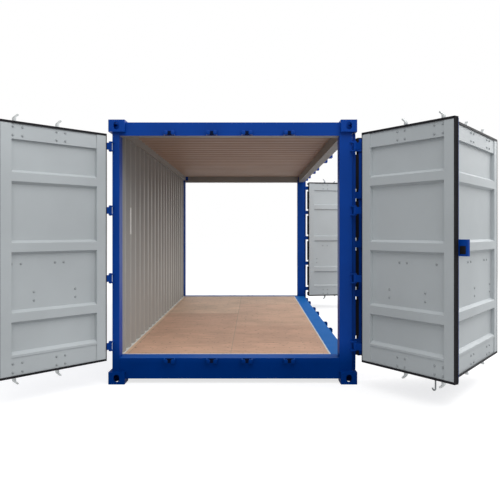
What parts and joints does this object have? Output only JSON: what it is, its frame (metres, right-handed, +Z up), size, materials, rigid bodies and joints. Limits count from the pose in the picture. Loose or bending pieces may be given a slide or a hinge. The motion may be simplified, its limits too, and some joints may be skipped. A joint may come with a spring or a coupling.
{
  "type": "shipping container",
  "caption": "Steel shipping container with hinged double doors at both ends, one side opening fully on folding doors, a corrugated wall, plywood floor and slotted corner castings.",
  "frame": {"origin": "midway between the four bottom corner castings, on the plane they stand on", "axes": "+X towards the front end, +Y towards the opening side, +Z up"},
  "size_m": [8.3267, 4.6626, 2.591],
  "materials": {
    "blue": "semi-gloss paint",
    "dark": "matt underseal",
    "plywood": "sealed plywood",
    "rubber": "matt",
    "galvanised": "dull zinc"
  },
  "bodies": {
    "frame": {"bottom_corner_castings": "blue", "floor_cross_members": "dark", "front_header": "blue", "front_left_post": "blue", "front_right_post": "blue", "front_sill": "blue", "left_bottom_rail": "blue", "left_top_rail": "blue", "left_wall": "blue", "plywood_floor": "plywood", "rear_header": "blue", "rear_left_post": "blue", "rear_right_post": "blue", "rear_sill": "blue", "roof_panel": "blue", "side_front_door": "blue", "side_front_door_bars": "galvanised", "side_front_folding_door": "blue", "side_front_folding_door_bars": "galvanised", "side_front_gaskets": "rubber", "side_header": "blue", "side_rear_door": "blue", "side_rear_door_bars": "galvanised", "side_rear_folding_door": "blue", "side_rear_folding_door_bars": "galvanised", "side_rear_gaskets": "rubber", "side_sill": "blue", "top_corner_castings": "blue"},
    "front_left_door": {"front_left_door": "blue", "front_left_door_gasket": "rubber"},
    "front_left_door_bar_1": {"front_left_door_bar_1": "galvanised"},
    "front_left_door_bar_2": {"front_left_door_bar_2": "galvanised"},
    "front_right_door": {"front_right_door": "blue", "front_right_door_gasket": "rubber", "front_right_door_bar_1": "galvanised", "front_right_door_bar_2": "galvanised"},
    "rear_left_door": {"rear_left_door": "blue", "rear_left_door_gasket": "rubber"},
    "rear_left_door_bar_1": {"rear_left_door_bar_1": "galvanised"},
    "rear_left_door_bar_2": {"rear_left_door_bar_2": "galvanised"},
    "rear_right_door": {"rear_right_door": "blue", "rear_right_door_gasket": "rubber", "rear_right_door_bar_1": "galvanised", "rear_right_door_bar_2": "galvanised"}
  },
  "joints": [
    {"name": "front_left_door_hinge", "type": "hinge", "parent": "frame", "child": "front_left_door", "pos_m": [3.004, -1.202, 0], "axis": [0, 0, -1], "range_deg": [-131, 139]},
    {"name": "front_right_door_hinge", "type": "hinge", "parent": "frame", "child": "front_right_door", "pos_m": [3.004, 1.202, 0], "axis": [0, 0, 1], "range_deg": [-124, 0]},
    {"name": "rear_left_door_hinge", "type": "hinge", "parent": "frame", "child": "rear_left_door", "pos_m": [-3.004, -1.202, 0], "axis": [0, 0, 1], "range_deg": [-120, 150]},
    {"name": "rear_right_door_hinge", "type": "hinge", "parent": "frame", "child": "rear_right_door", "pos_m": [-3.004, 1.202, 0], "axis": [0, 0, -1], "range_deg": [-92, 0]},
    {"name": "front_left_door_bar_1_turn", "type": "hinge", "parent": "front_left_door", "child": "front_left_door_bar_1", "pos_m": [3.44304, -1.581, 0], "axis": [0, 0, -1], "range_deg": [-100, 0]},
    {"name": "front_left_door_bar_2_turn", "type": "hinge", "parent": "front_left_door", "child": "front_left_door_bar_2", "pos_m": [3.75625, -1.85327, 0], "axis": [0, 0, -1], "range_deg": [-100, 0]},
    {"name": "rear_left_door_bar_1_turn", "type": "hinge", "parent": "rear_left_door", "child": "rear_left_door_bar_1", "pos_m": [-3.5073, -1.49027, 0], "axis": [0, 0, 1], "range_deg": [-100, 0]},
    {"name": "rear_left_door_bar_2_turn", "type": "hinge", "parent": "rear_left_door", "child": "rear_left_door_bar_2", "pos_m": [-3.86669, -1.69777, 0], "axis": [0, 0, 1], "range_deg": [-100, 0]}
  ]
}
